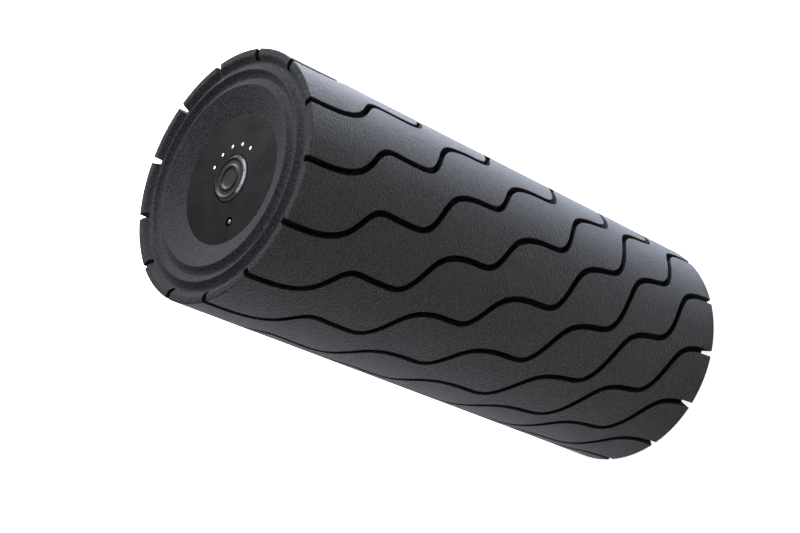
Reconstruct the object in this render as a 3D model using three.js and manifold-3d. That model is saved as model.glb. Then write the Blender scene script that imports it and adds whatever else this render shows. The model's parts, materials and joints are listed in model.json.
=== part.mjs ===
// A battery-powered vibrating foam roller, standing on its plain end with the control end up.
// Millimetres, +Z along the roller's axis, origin at the centre of the bottom end.
import * as THREE from "three";
import { mergeVertices } from "three/addons/utils/BufferGeometryUtils.js";
import Module from "manifold-3d";

const wasm = await Module();
wasm.setup();

// ---------- Driving dimensions ----------

const LENGTH = 295;
const ROLLER_RADIUS = 63.5;
const GAP = 0.3; // clearance between pieces that touch
const DEG = Math.PI / 180;
const FULL_TURN = 2 * Math.PI;

// Tread: grooves that run from end to end in waves
const GROOVE_COUNT = 13;
const GROOVE_WIDTH = 3.2;
const GROOVE_FLOOR_WIDTH = 2.2;
const GROOVE_FLOOR_RADIUS = 57.8;
const GROOVE_START_DEG = 13.2; // azimuth of the first groove at the control end
const WAVES = [
  // depth below the control end in mm, the sideways turn made there in degrees, and how far the
  // bend is lopsided, as a share of that turn
  { depth: 39.7, turn: 18.3, lean: 0.18 },
  { depth: 83.9, turn: 24.4, lean: -0.1 },
  { depth: 129.3, turn: 21.5, lean: -0.14 },
  { depth: 177.6, turn: 27.7, lean: -0.11 },
  { depth: 221.3, turn: 34.7, lean: -0.05 },
  { depth: 262.4, turn: 31.4, lean: -0.07 },
];
const WAVE_SOFTNESS = 7.2; // mm over which a wave turns
const WAVE_SWING = -0.03; // share of a turn by which each bend is eased
const WAVE_REACH = 2; // of the lean and swing from a bend, in softnesses
const WAVE_DRIFT = 0.014; // degrees of steady turn per mm
const SLANT_SAMPLE = 0.5; // mm to each side, for the slant of a groove
const WAVE_ROW_OFFSETS = [-9, -3, 3, 9]; // mesh rows about each wave
const LAND_STEPS = 3; // facets across the tread between two grooves

// End face of the foam: two soft crests and two valleys round the hard centre
const EDGE_ROUND = 0.6;
const RIM_INNER_RADIUS = 60.6;
const VALLEY_DEPTH = 2.3;
const OUTER_VALLEY_RADIUS = 56.8;
const OUTER_CREST_RADIUS = 52.7;
const SEAM_RADIUS = 49.15; // the sleeve's bore, in the inner valley
const INNER_CREST_RADIUS = 45.2;
const INNER_CREST_DEPTH = 0.3;
const CREST_HALF_WIDTH = 1.4;
const CREST_DROP = 1.1;
const RIM_WALL_SHARE = 0.5; // of the valley's depth, halfway up the rim's inner wall
const NOTCH_START_SHARE = 0.85; // of the valley's depth, where a groove starts to cut the rim
const NOTCH_STEP_SHARE = 0.2; // by which it deepens at each row outwards
const RING_OUTER_RADIUS = SEAM_RADIUS - GAP;
const RING_INNER_RADIUS = 33.3;
const CONE_DEPTH = 5.5; // where the ring meets the disc
const RING_BASE_DEPTH = 8;

// Hard end pieces
const DISC_RADIUS = RING_INNER_RADIUS - GAP;
const DISC_DEPTH = 5.6; // of its face below the rim
const DISC_THICKNESS = 2.4;
const DISC_CHAMFER = 0.5;
const CAP_PLATE_DEPTH = RING_BASE_DEPTH + GAP;
const CAP_PLATE_THICKNESS = 3;
const CAP_SKIRT_LENGTH = 12.7;
const CAP_SKIRT_WALL = 2.6;

// Core shell
const SHELL_OUTER_RADIUS = 48.5;
const SHELL_WALL = 3;
const SHELL_INNER_RADIUS = SHELL_OUTER_RADIUS - SHELL_WALL;
const SHELL_END_DEPTH = CAP_PLATE_DEPTH + CAP_PLATE_THICKNESS + GAP;
const RIB_THICKNESS = 3;
const RIB_BITE = 1.8; // how far a rib runs into the shell's wall
const SHELL_SCREW_OFFSET = 40; // of the clamping screws to each side of the axis
const SHELL_SCREW_HEIGHTS = [60, 235];
const SHELL_BOSS_RADIUS = 4.2;

// Controls, on the disc at the top
const BUTTON_RADIUS = 11.8;
const BUTTON_TOP_DEPTH = 4.2;
const BUTTON_DISH_RADIUS = 4.8;
const BUTTON_DISH_DEPTH = 0.6;
const BUTTON_RING_RADIUS = 6; // of the raised ring round the dish
const BUTTON_BAND_INNER_RADIUS = 7.3; // of the sunk band round the ring
const BUTTON_BAND_OUTER_RADIUS = 9.6;
const BUTTON_BAND_DEPTH = 0.5;
const BUTTON_BEVEL = 1;
const BUTTON_FLANGE_RADIUS = 13.4;
const BUTTON_FLANGE_THICKNESS = 1.8;
const BUTTON_POST_RADIUS = 2.2;
const BUTTON_TRAVEL = 0.8;
const BUTTON_HOLE_GAP = 0.45;
const LED_COUNT = 5;
const LED_CIRCLE_RADIUS = 17.2;
const LED_FIRST_DEG = 40;
const LED_STEP_DEG = 25;
const LIGHT_PIN_RADIUS = 0.85;
const LIGHT_BAR_HALF_WIDTH = 1.6;
const LIGHT_BAR_HEIGHT = 1.5;
const LIGHT_SUNK = 0.1; // of the pins' tips below the disc's face
const LED_SIZE = 2;
const LED_HEIGHT = 0.9;
const JACK_CIRCLE_RADIUS = 22.9;
const JACK_BORE_RADIUS = 2.7;
const JACK_BODY_RADIUS = 4.6;
const JACK_FLOOR = 1.6;
const JACK_PIN_RADIUS = 1;
const JACK_PIN_SUNK = 0.3; // of its tip below the disc's face

// Control board, under the disc
const BOARD_RADIUS = 33;
const BOARD_THICKNESS = 1.6;
const BOARD_TOP_Z = 277.6;
const BOARD_SCREW_CIRCLE_RADIUS = 27;
const BOARD_SCREW_ANGLES_DEG = [90, 210, 330];
const BOARD_BOSS_RADIUS = 3.2;
const SWITCH_SIZE = 6.2;
const SWITCH_HEIGHT = 3.5;
const PLUNGER_RADIUS = 1.75;
const PLUNGER_HEIGHT = 3.2;
const CHIP_SIZE = 7;
const CHIP_HEIGHT = 1.2;
const CHIP_OFFSET = 18; // of the chip to the side of the switch

// Self-tapping screws
const SCREW_RADIUS = 1.25;
const SCREW_HEAD_RADIUS = 2.5;
const SCREW_HEAD_HEIGHT = 1.5;
const SCREW_TIP_LENGTH = 1;
const CAP_SCREW_LENGTH = 4.5;
const CAP_SCREW_ANGLES_DEG = [0, 120, 240]; // the same from either end
const CAP_SCREW_DEPTH = 18; // below the end of the roller
const BOARD_SCREW_LENGTH = 6;
const SHELL_SCREW_LENGTH = 18;

// Vibration drive: a motor whose long shaft carries a weight and a bearing at each end
const MID_Z = 163;
const MOTOR_LENGTH = 56;
const MOTOR_RADIUS = 18;
const MOTOR_WALL = 1.6;
const MOTOR_COVER_THICKNESS = 3.5;
const MOTOR_RIB_INSET = 7; // of the ribs that grip it, from its ends
const SHAFT_RADIUS = 2.5;
const SHAFT_BORE_RADIUS = SHAFT_RADIUS + GAP;
const SHAFT_HALF_LENGTH = 54.5;
const SHAFT_HOLE_RADIUS = 3.2;
const MAGNET_INNER_RADIUS = 12.6;
const MAGNET_LENGTH = 36;
const MAGNET_ARC_DEG = 140;
const ROTOR_RADIUS = 12;
const ROTOR_LENGTH = 32;
const ROTOR_POLES = 5;
const ROTOR_SLOT_DEG = 16;
const ROTOR_NECK_RADIUS = 7;
const COMMUTATOR_RADIUS = 5;
const COMMUTATOR_LENGTH = 5;
const COMMUTATOR_OFFSET = 18; // of its near end above the middle
const WEIGHT_RADIUS = 24;
const WEIGHT_HUB_RADIUS = 7;
const WEIGHT_THICKNESS = 12;
const WEIGHT_OFFSET = 34; // of its near face from the motor's middle
const BEARING_OFFSET = 49;
const BEARING_WIDTH = 5;
const BEARING_OUTER_RADIUS = 8;
const BEARING_OUTER_INNER_RADIUS = 6.6;
const BEARING_INNER_OUTER_RADIUS = 4.2;
const BALL_RADIUS = 0.95;
const BALL_COUNT = 7;
const BALL_CIRCLE_RADIUS = 5.4;
const CAGE_HALF_WIDTH = 0.3;
const CAGE_HALF_HEIGHT = 0.5;

// Battery pack, at the bottom
const CELL_COUNT = 3;
const CELL_RADIUS = 9.2;
const CELL_LENGTH = 65;
const CELL_CIRCLE_RADIUS = 12;
const CELL_FIRST_DEG = 90;
const CELL_BASE_Z = 28;
const CELL_TERMINAL_RADIUS = 2.8;
const CELL_TERMINAL_HEIGHT = 1;
const CELL_END_GAP = 0.3;
const CELL_RIB_SHARES = [1 / 6, 5 / 6]; // of a cell's length, where a rib holds it
const STOP_HOLE_RADIUS = 5;
const PACK_BOARD_SIZE = [24, 12, 1.6];
const PACK_BOARD_X = 21;

// Leads, up one side of the core to the control board
const LEAD_RADIUS = 1.5;
const LEAD_CIRCLE_RADIUS = 37;
const BATTERY_LEAD_DEG = -40;
const MOTOR_LEAD_DEG = -62;
const LEAD_HOLE_RADIUS = 2.6;
const LEAD_SIDES = 6;
const LEAD_CORNER_SHARE = 0.9; // of the way round to its straight stretch, just before the bend
const BATTERY_LEAD_RISES = [0, 0.75, 3, 7.5, 12]; // of its lower points above the start
const BATTERY_LEAD_DROPS = [19.5, 15, 4.5]; // of its upper points below the control board
const BATTERY_LEAD_STEPS = 30;
const MOTOR_LEAD_SHARE = 0.75; // of the circle's radius, just before its bend
const MOTOR_LEAD_RISES = [0, 7.2, 11.7];
const MOTOR_LEAD_DROPS = [28.5, 24, 6];
const MOTOR_LEAD_STEPS = 22;

// Facets round a full circle
const LARGE_FACETS = 48;
const CORE_FACETS = 32;
const MIDDLE_FACETS = 26;
const SMALL_FACETS = 12;
const TINY_FACETS = 8;
const MERGE_TOLERANCE = 1e-4;

// ---------- Heights that follow ----------

const DISC_TOP_Z = LENGTH - DISC_DEPTH;
const DISC_BASE_Z = DISC_TOP_Z - DISC_THICKNESS;
const CAP_TOP_Z = LENGTH - CAP_PLATE_DEPTH;
const CAP_PLATE_BASE_Z = CAP_TOP_Z - CAP_PLATE_THICKNESS;
const BUTTON_TOP_Z = LENGTH - BUTTON_TOP_DEPTH;
const PLUNGER_BASE_Z = BOARD_TOP_Z + BUTTON_TRAVEL + 2 * GAP;
const PLUNGER_TOP_Z = PLUNGER_BASE_Z + PLUNGER_HEIGHT;
const MOTOR_BASE_Z = MID_Z - MOTOR_LENGTH / 2;
const MOTOR_TOP_Z = MID_Z + MOTOR_LENGTH / 2;
const PACK_TOP_Z = CELL_BASE_Z + CELL_LENGTH + CELL_TERMINAL_HEIGHT + CELL_END_GAP;

// ---------- Geometry helpers ----------

// A closed solid of manifold-3d from a three.js geometry.
function toSolid(geometry) {
  const bare = geometry.clone();
  bare.deleteAttribute("normal");
  bare.deleteAttribute("uv");
  const merged = mergeVertices(bare, MERGE_TOLERANCE);
  return new wasm.Manifold(
    new wasm.Mesh({
      numProp: 3,
      vertProperties: merged.attributes.position.array,
      triVerts: new Uint32Array(merged.index.array),
    }),
  );
}

function toGeometry(solid) {
  const mesh = solid.getMesh();
  const geometry = new THREE.BufferGeometry();
  geometry.setAttribute("position", new THREE.BufferAttribute(mesh.vertProperties, 3));
  geometry.setIndex(new THREE.BufferAttribute(mesh.triVerts, 1));
  return geometry;
}

function join(geometries) {
  return toGeometry(geometries.map(toSolid).reduce((sum, next) => sum.add(next)));
}

function cut(geometry, tools) {
  return toGeometry(tools.map(toSolid).reduce((rest, tool) => rest.subtract(tool), toSolid(geometry)));
}

function keepInside(geometry, tool) {
  return toGeometry(toSolid(geometry).intersect(toSolid(tool)));
}

// A turned piece about +Z from [radius, height] points; a ring's outline closes on itself.
function turned(outline, facets) {
  const points = outline.map(([radius, z]) => new THREE.Vector2(radius, z));
  if (THREE.ShapeUtils.area(points) < 0) points.reverse();
  const last = points[points.length - 1];
  const onAxis = points[0].x === 0 && last.x === 0;
  if (!onAxis) points.push(points[0].clone());
  return new THREE.LatheGeometry(points, facets).rotateX(Math.PI / 2);
}

function rod(radius, baseZ, topZ, facets, x = 0, y = 0) {
  const geometry = new THREE.CylinderGeometry(radius, radius, topZ - baseZ, facets);
  return geometry.rotateX(Math.PI / 2).translate(x, y, (baseZ + topZ) / 2);
}

function tube(innerRadius, outerRadius, baseZ, topZ, facets) {
  const outline = [
    [innerRadius, baseZ],
    [outerRadius, baseZ],
    [outerRadius, topZ],
    [innerRadius, topZ],
  ];
  return turned(outline, facets);
}

function block(width, depth, height, x, y, baseZ) {
  return new THREE.BoxGeometry(width, depth, height).translate(x, y, baseZ + height / 2);
}

// A flat plate of an outline in plan.
function plate(shape, baseZ, thickness, facets) {
  // A round outline gets twice curveSegments points.
  const options = { depth: thickness, bevelEnabled: false, curveSegments: facets / 2 };
  return new THREE.ExtrudeGeometry(shape, options).translate(0, 0, baseZ);
}

function polar(radius, degrees) {
  return [radius * Math.cos(degrees * DEG), radius * Math.sin(degrees * DEG)];
}

// A round hole path for a plate.
function hole(radius, x = 0, y = 0) {
  const path = new THREE.Path();
  path.absarc(x, y, radius, 0, FULL_TURN, true);
  return path;
}

function roundPlate(radius, holes, baseZ, thickness, facets) {
  const shape = new THREE.Shape();
  shape.absarc(0, 0, radius, 0, FULL_TURN, false);
  shape.holes.push(...holes);
  return plate(shape, baseZ, thickness, facets);
}

// An arc-shaped plate centred on an azimuth.
function arcPlate(innerRadius, outerRadius, middleDeg, spanDeg, baseZ, thickness) {
  const start = (middleDeg - spanDeg / 2) * DEG;
  const end = (middleDeg + spanDeg / 2) * DEG;
  const shape = new THREE.Shape();
  shape.absarc(0, 0, outerRadius, start, end, false);
  shape.absarc(0, 0, innerRadius, end, start, true);
  return plate(shape, baseZ, thickness, TINY_FACETS);
}

// A screw standing on +Z: its tip at the origin and its head on top.
function screwGeometry(length) {
  const outline = [
    [0, 0],
    [SCREW_RADIUS, SCREW_TIP_LENGTH],
    [SCREW_RADIUS, length],
    [SCREW_HEAD_RADIUS, length],
    [SCREW_HEAD_RADIUS, length + SCREW_HEAD_HEIGHT],
    [0, length + SCREW_HEAD_HEIGHT],
  ];
  return turned(outline, TINY_FACETS);
}

// ---------- Foam ----------

// How far a groove has turned, in degrees, at a depth below the control end.
function waveTurn(depth) {
  const turns = WAVES.map((wave) => {
    const along = (depth - wave.depth) / WAVE_SOFTNESS;
    const nearness = Math.exp(-((along / WAVE_REACH) ** 2));
    return wave.turn * ((1 + Math.tanh(along)) / 2 + (WAVE_SWING * along + wave.lean) * nearness);
  });
  return turns.reduce((sum, turn) => sum + turn, WAVE_DRIFT * depth);
}

// A groove that runs aslant is wider along the circumference.
function slantFactor(depth) {
  const turn = waveTurn(depth + SLANT_SAMPLE) - waveTurn(depth - SLANT_SAMPLE);
  return Math.hypot(1, (ROLLER_RADIUS * turn * DEG) / (2 * SLANT_SAMPLE));
}

// Rows of the sleeve's end face from the bore out to the tread: the foam's own radius and depth,
// and the radius and depth where a groove cuts it.
function sleeveEndRows() {
  const plain = [
    [SEAM_RADIUS, VALLEY_DEPTH],
    [OUTER_CREST_RADIUS - CREST_HALF_WIDTH, CREST_DROP],
    [OUTER_CREST_RADIUS, 0],
    [OUTER_CREST_RADIUS + CREST_HALF_WIDTH, CREST_DROP],
    [OUTER_VALLEY_RADIUS, VALLEY_DEPTH],
  ].map(([radius, depth]) => ({ radius, depth, cutRadius: radius, cutDepth: depth }));
  const rimSlope = [
    [(OUTER_VALLEY_RADIUS + RIM_INNER_RADIUS) / 2, VALLEY_DEPTH * RIM_WALL_SHARE],
    [RIM_INNER_RADIUS, 0],
    [ROLLER_RADIUS - EDGE_ROUND, 0],
    [ROLLER_RADIUS, EDGE_ROUND],
  ].map(([radius, depth], i) => {
    const cutRadius = i === 0 ? (OUTER_VALLEY_RADIUS + GROOVE_FLOOR_RADIUS) / 2 : GROOVE_FLOOR_RADIUS;
    const cutDepth = VALLEY_DEPTH * (NOTCH_START_SHARE + NOTCH_STEP_SHARE * i);
    return { radius, depth, cutRadius, cutDepth };
  });
  return [...plain, ...rimSlope];
}

// All rows, from the bore at the control end, over the tread, to the bore at the plain end.
function sleeveRows() {
  const end = sleeveEndRows();
  const rows = end.map((row) => ({ ...row }));
  WAVES.forEach((wave, i) => {
    WAVE_ROW_OFFSETS.forEach((offset) => {
      const depth = wave.depth + offset;
      rows.push({ radius: ROLLER_RADIUS, depth, cutRadius: GROOVE_FLOOR_RADIUS, cutDepth: depth });
    });
    if (i + 1 < WAVES.length) {
      const between = (wave.depth + WAVES[i + 1].depth) / 2;
      rows.push({
        radius: ROLLER_RADIUS,
        depth: between,
        cutRadius: GROOVE_FLOOR_RADIUS,
        cutDepth: between,
      });
    }
  });
  end.reverse().forEach((row) => {
    rows.push({ ...row, depth: LENGTH - row.depth, cutDepth: LENGTH - row.cutDepth });
  });
  return rows;
}

// One row's points round the roller: at each groove its edge, floor, floor and edge, then the tread.
function sleeveRowPoints(row) {
  const pitch = 360 / GROOVE_COUNT;
  const slant = slantFactor(row.depth);
  const edge = (GROOVE_WIDTH * slant) / 2 / ROLLER_RADIUS / DEG;
  const floor = (GROOVE_FLOOR_WIDTH * slant) / 2 / GROOVE_FLOOR_RADIUS / DEG;
  const points = [];
  for (let groove = 0; groove < GROOVE_COUNT; groove += 1) {
    const middle = GROOVE_START_DEG + groove * pitch + waveTurn(row.depth);
    const add = (degrees, radius, depth) => points.push([...polar(radius, degrees), LENGTH - depth]);
    add(middle - edge, row.radius, row.depth);
    add(middle - floor, row.cutRadius, row.cutDepth);
    add(middle + floor, row.cutRadius, row.cutDepth);
    for (let step = 0; step < LAND_STEPS; step += 1) {
      const along = (step * (pitch - 2 * edge)) / LAND_STEPS;
      add(middle + edge + along, row.radius, row.depth);
    }
  }
  return points;
}

function sleeveGeometry() {
  const rows = sleeveRows().map(sleeveRowPoints);
  const columns = rows[0].length;
  const perGroove = columns / GROOVE_COUNT;
  // The bore joins each point at the plain end to the nearest one at the control end.
  const turnedBy = Math.round((waveTurn(LENGTH) / 360) * GROOVE_COUNT) * perGroove;
  const index = [];
  for (let row = 0; row < rows.length; row += 1) {
    const next = (row + 1) % rows.length;
    const shift = next === 0 ? turnedBy : 0;
    for (let column = 0; column < columns; column += 1) {
      const a = row * columns + column;
      const b = row * columns + ((column + 1) % columns);
      const c = next * columns + ((column + shift) % columns);
      const d = next * columns + ((column + 1 + shift) % columns);
      index.push(a, c, b, b, c, d);
    }
  }
  const geometry = new THREE.BufferGeometry();
  geometry.setAttribute("position", new THREE.Float32BufferAttribute(rows.flat(2), 3));
  geometry.setIndex(index);
  return geometry;
}

// The foam ring inside the sleeve at the top end: its crest and its cone down to the disc.
function endRingGeometry() {
  const outline = [
    [RING_OUTER_RADIUS, VALLEY_DEPTH],
    [INNER_CREST_RADIUS + CREST_HALF_WIDTH, INNER_CREST_DEPTH + CREST_DROP],
    [INNER_CREST_RADIUS, INNER_CREST_DEPTH],
    [INNER_CREST_RADIUS - CREST_HALF_WIDTH, INNER_CREST_DEPTH + CREST_DROP],
    [RING_INNER_RADIUS, CONE_DEPTH],
    [RING_INNER_RADIUS, RING_BASE_DEPTH],
    [RING_OUTER_RADIUS, RING_BASE_DEPTH],
  ].map(([radius, depth]) => [radius, LENGTH - depth]);
  return turned(outline, LARGE_FACETS);
}

// ---------- Core shell ----------

// A rib across the core: a round plate with its holes.
function rib(holes, baseZ, facets = SMALL_FACETS) {
  return roundPlate(SHELL_INNER_RADIUS + RIB_BITE, holes, baseZ, RIB_THICKNESS, facets);
}

function cellHoles() {
  const step = 360 / CELL_COUNT;
  return Array.from({ length: CELL_COUNT }, (_, i) => {
    return hole(CELL_RADIUS + GAP, ...polar(CELL_CIRCLE_RADIUS, CELL_FIRST_DEG + i * step));
  });
}

function coreRibs() {
  const bearingRib = BEARING_OFFSET + (BEARING_WIDTH - RIB_THICKNESS) / 2;
  return [
    rib([hole(STOP_HOLE_RADIUS)], CELL_BASE_Z - CELL_END_GAP - RIB_THICKNESS),
    ...CELL_RIB_SHARES.map((share) => rib(cellHoles(), CELL_BASE_Z + share * CELL_LENGTH)),
    rib([hole(STOP_HOLE_RADIUS)], PACK_TOP_Z),
    rib([hole(BEARING_OUTER_RADIUS + GAP)], MID_Z - bearingRib - RIB_THICKNESS),
    rib([hole(MOTOR_RADIUS + GAP)], MOTOR_BASE_Z + MOTOR_RIB_INSET, MIDDLE_FACETS),
    rib([hole(MOTOR_RADIUS + GAP)], MOTOR_TOP_Z - MOTOR_RIB_INSET - RIB_THICKNESS, MIDDLE_FACETS),
    rib([hole(BEARING_OUTER_RADIUS + GAP)], MID_Z + bearingRib),
  ];
}

// A rod along X, for the clamping screws' bosses and holes.
function crossRod(radius, fromX, toX, y, z) {
  return rod(radius, fromX, toX, TINY_FACETS).rotateY(Math.PI / 2).translate(0, y, z);
}

function shellScrewPlaces() {
  return SHELL_SCREW_HEIGHTS.flatMap((z) => [
    [SHELL_SCREW_OFFSET, z],
    [-SHELL_SCREW_OFFSET, z],
  ]);
}

// A radial rod at one end's cap screws.
function capScrewRods(radius, fromRadius, toRadius, z) {
  return CAP_SCREW_ANGLES_DEG.map((degrees) => {
    return crossRod(radius, fromRadius, toRadius, 0, 0)
      .rotateZ(degrees * DEG)
      .translate(0, 0, z);
  });
}

function coreGeometry() {
  const wall = tube(
    SHELL_INNER_RADIUS,
    SHELL_OUTER_RADIUS,
    SHELL_END_DEPTH,
    LENGTH - SHELL_END_DEPTH,
    CORE_FACETS,
  );
  // A boss ends inside the wall.
  const bossTop = SHELL_SCREW_OFFSET + SHELL_BOSS_RADIUS;
  const reach = Math.sqrt((SHELL_INNER_RADIUS + RIB_BITE) ** 2 - bossTop ** 2);
  const places = shellScrewPlaces();
  const bosses = places.map(([y, z]) => crossRod(SHELL_BOSS_RADIUS, -reach, reach, y, z));
  const headSeat = SHELL_SCREW_LENGTH / 2 + GAP;
  const shanks = places.map(([y, z]) => {
    return crossRod(SCREW_RADIUS + GAP, -headSeat - GAP, headSeat, y, z);
  });
  const heads = places.map(([y, z]) => {
    return crossRod(SCREW_HEAD_RADIUS + GAP, SHELL_SCREW_LENGTH / 2 - GAP, SHELL_OUTER_RADIUS, y, z);
  });
  const leads = [BATTERY_LEAD_DEG, MOTOR_LEAD_DEG].map((degrees) => {
    const [x, y] = polar(LEAD_CIRCLE_RADIUS, degrees);
    return rod(LEAD_HOLE_RADIUS, PACK_TOP_Z - GAP, BOARD_TOP_Z, TINY_FACETS, x, y);
  });
  const capScrews = [CAP_SCREW_DEPTH, LENGTH - CAP_SCREW_DEPTH].flatMap((z) => {
    return capScrewRods(SCREW_HEAD_RADIUS + GAP, SHELL_INNER_RADIUS - GAP, ROLLER_RADIUS, z);
  });
  return cut(join([wall, ...bosses, ...coreRibs()]), [...shanks, ...heads, ...leads, ...capScrews]);
}

// One half of the core, on the side of x that the sign gives.
function coreHalf(core, side) {
  const size = 2 * ROLLER_RADIUS;
  const x = (side * (size + GAP)) / 2;
  return keepInside(core, block(size, size, LENGTH, x, 0, 0));
}

// ---------- End caps and discs ----------

// The cap at the top end, with the holes that its tools cut.
function capGeometry(bosses, tools) {
  const skirtOuter = SHELL_INNER_RADIUS - GAP;
  const skirtInner = skirtOuter - CAP_SKIRT_WALL;
  const outline = [
    [0, CAP_TOP_Z],
    [SHELL_OUTER_RADIUS, CAP_TOP_Z],
    [SHELL_OUTER_RADIUS, CAP_PLATE_BASE_Z],
    [skirtOuter, CAP_PLATE_BASE_Z],
    [skirtOuter, CAP_PLATE_BASE_Z - CAP_SKIRT_LENGTH],
    [skirtInner, CAP_PLATE_BASE_Z - CAP_SKIRT_LENGTH],
    [skirtInner, CAP_PLATE_BASE_Z],
    [0, CAP_PLATE_BASE_Z],
  ];
  const screws = capScrewRods(
    SCREW_RADIUS + GAP,
    skirtInner - GAP,
    skirtOuter + GAP,
    LENGTH - CAP_SCREW_DEPTH,
  );
  return cut(join([turned(outline, CORE_FACETS), ...bosses]), [...screws, ...tools]);
}

function ledAngles() {
  return Array.from({ length: LED_COUNT }, (_, i) => LED_FIRST_DEG + i * LED_STEP_DEG);
}

function controlCapGeometry() {
  const bossBase = BOARD_TOP_Z + GAP;
  const bossPlaces = BOARD_SCREW_ANGLES_DEG.map((deg) => polar(BOARD_SCREW_CIRCLE_RADIUS, deg));
  const bosses = bossPlaces.map(([x, y]) => {
    return rod(BOARD_BOSS_RADIUS, bossBase, CAP_PLATE_BASE_Z + GAP, TINY_FACETS, x, y);
  });
  const bossBores = bossPlaces.map(([x, y]) => {
    return rod(SCREW_RADIUS + GAP, bossBase - GAP, CAP_PLATE_BASE_Z, TINY_FACETS, x, y);
  });
  const below = CAP_PLATE_BASE_Z - GAP;
  const above = CAP_TOP_Z + GAP;
  const buttonHole = rod(BUTTON_FLANGE_RADIUS + GAP, below, above, MIDDLE_FACETS);
  const jackHole = rod(JACK_BODY_RADIUS + GAP, below, above, SMALL_FACETS, 0, -JACK_CIRCLE_RADIUS);
  const pinHoles = ledAngles().map((deg) => {
    return rod(LIGHT_PIN_RADIUS + GAP, below, above, TINY_FACETS, ...polar(LED_CIRCLE_RADIUS, deg));
  });
  return capGeometry(bosses, [...bossBores, buttonHole, jackHole, ...pinHoles]);
}

// A disc at the top end with a chamfered edge.
function discGeometry() {
  const outline = [
    [0, DISC_TOP_Z],
    [DISC_RADIUS - DISC_CHAMFER, DISC_TOP_Z],
    [DISC_RADIUS, DISC_TOP_Z - DISC_CHAMFER],
    [DISC_RADIUS, DISC_BASE_Z],
    [0, DISC_BASE_Z],
  ];
  return turned(outline, LARGE_FACETS);
}

function controlDiscGeometry() {
  const below = DISC_BASE_Z - GAP;
  const above = DISC_TOP_Z + GAP;
  const buttonHole = rod(BUTTON_RADIUS + BUTTON_HOLE_GAP, below, above, MIDDLE_FACETS);
  const jackHole = rod(JACK_BORE_RADIUS, below, above, SMALL_FACETS, 0, -JACK_CIRCLE_RADIUS);
  const pinHoles = ledAngles().map((deg) => {
    return rod(LIGHT_PIN_RADIUS + GAP, below, above, TINY_FACETS, ...polar(LED_CIRCLE_RADIUS, deg));
  });
  return cut(discGeometry(), [buttonHole, jackHole, ...pinHoles]);
}

// ---------- Controls ----------

function buttonGeometry() {
  const flangeTop = DISC_BASE_Z - GAP;
  const flangeBase = flangeTop - BUTTON_FLANGE_THICKNESS;
  const postBase = PLUNGER_TOP_Z + GAP;
  const outline = [
    [0, BUTTON_TOP_Z - BUTTON_DISH_DEPTH],
    [BUTTON_DISH_RADIUS, BUTTON_TOP_Z - BUTTON_DISH_DEPTH],
    [BUTTON_RING_RADIUS, BUTTON_TOP_Z],
    [BUTTON_BAND_INNER_RADIUS, BUTTON_TOP_Z - BUTTON_BAND_DEPTH],
    [BUTTON_BAND_OUTER_RADIUS, BUTTON_TOP_Z - BUTTON_BAND_DEPTH],
    [BUTTON_RADIUS - BUTTON_BEVEL, BUTTON_TOP_Z],
    [BUTTON_RADIUS, BUTTON_TOP_Z - BUTTON_BEVEL],
    [BUTTON_RADIUS, flangeTop],
    [BUTTON_FLANGE_RADIUS, flangeTop],
    [BUTTON_FLANGE_RADIUS, flangeBase],
    [BUTTON_POST_RADIUS, flangeBase],
    [BUTTON_POST_RADIUS, postBase],
    [0, postBase],
  ];
  return turned(outline, MIDDLE_FACETS);
}

// The light guide: a bar under the cap with one pin for each light.
function lightGuideGeometry() {
  const barTop = CAP_PLATE_BASE_Z - GAP;
  const span = (LED_COUNT - 1) * LED_STEP_DEG + LED_STEP_DEG / 2;
  const bar = arcPlate(
    LED_CIRCLE_RADIUS - LIGHT_BAR_HALF_WIDTH,
    LED_CIRCLE_RADIUS + LIGHT_BAR_HALF_WIDTH,
    LED_FIRST_DEG + ((LED_COUNT - 1) * LED_STEP_DEG) / 2,
    span,
    barTop - LIGHT_BAR_HEIGHT,
    LIGHT_BAR_HEIGHT,
  );
  const pinBase = BOARD_TOP_Z + LED_HEIGHT + 2 * GAP;
  const pins = ledAngles().map((deg) => {
    const [x, y] = polar(LED_CIRCLE_RADIUS, deg);
    return rod(LIGHT_PIN_RADIUS, pinBase, DISC_TOP_Z - LIGHT_SUNK, TINY_FACETS, x, y);
  });
  return join([bar, ...pins]);
}

function switchBodyGeometry() {
  const half = SWITCH_SIZE / 2;
  const shape = new THREE.Shape();
  shape.moveTo(-half, -half);
  shape.lineTo(half, -half);
  shape.lineTo(half, half);
  shape.lineTo(-half, half);
  shape.holes.push(hole(PLUNGER_RADIUS + GAP));
  return plate(shape, BOARD_TOP_Z + GAP, SWITCH_HEIGHT, TINY_FACETS);
}

// The jack, about its own axis: a cup open at the top.
function jackBodyGeometry() {
  const base = BOARD_TOP_Z + GAP;
  const top = DISC_BASE_Z - GAP;
  const outline = [
    [0, base],
    [JACK_BODY_RADIUS, base],
    [JACK_BODY_RADIUS, top],
    [JACK_BORE_RADIUS, top],
    [JACK_BORE_RADIUS, base + JACK_FLOOR],
    [0, base + JACK_FLOOR],
  ];
  return turned(outline, SMALL_FACETS);
}

function jackPinGeometry() {
  const base = BOARD_TOP_Z + JACK_FLOOR + 2 * GAP;
  const top = DISC_TOP_Z - JACK_PIN_SUNK;
  const outline = [
    [0, base],
    [JACK_PIN_RADIUS, base],
    [JACK_PIN_RADIUS, top - JACK_PIN_RADIUS / 2],
    [JACK_PIN_RADIUS / 2, top],
    [0, top],
  ];
  return turned(outline, TINY_FACETS);
}

function controlBoardGeometry() {
  const holes = BOARD_SCREW_ANGLES_DEG.map((deg) => {
    return hole(SCREW_RADIUS + GAP, ...polar(BOARD_SCREW_CIRCLE_RADIUS, deg));
  });
  return roundPlate(BOARD_RADIUS, holes, BOARD_TOP_Z - BOARD_THICKNESS, BOARD_THICKNESS, SMALL_FACETS);
}

// ---------- Vibration drive ----------

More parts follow.
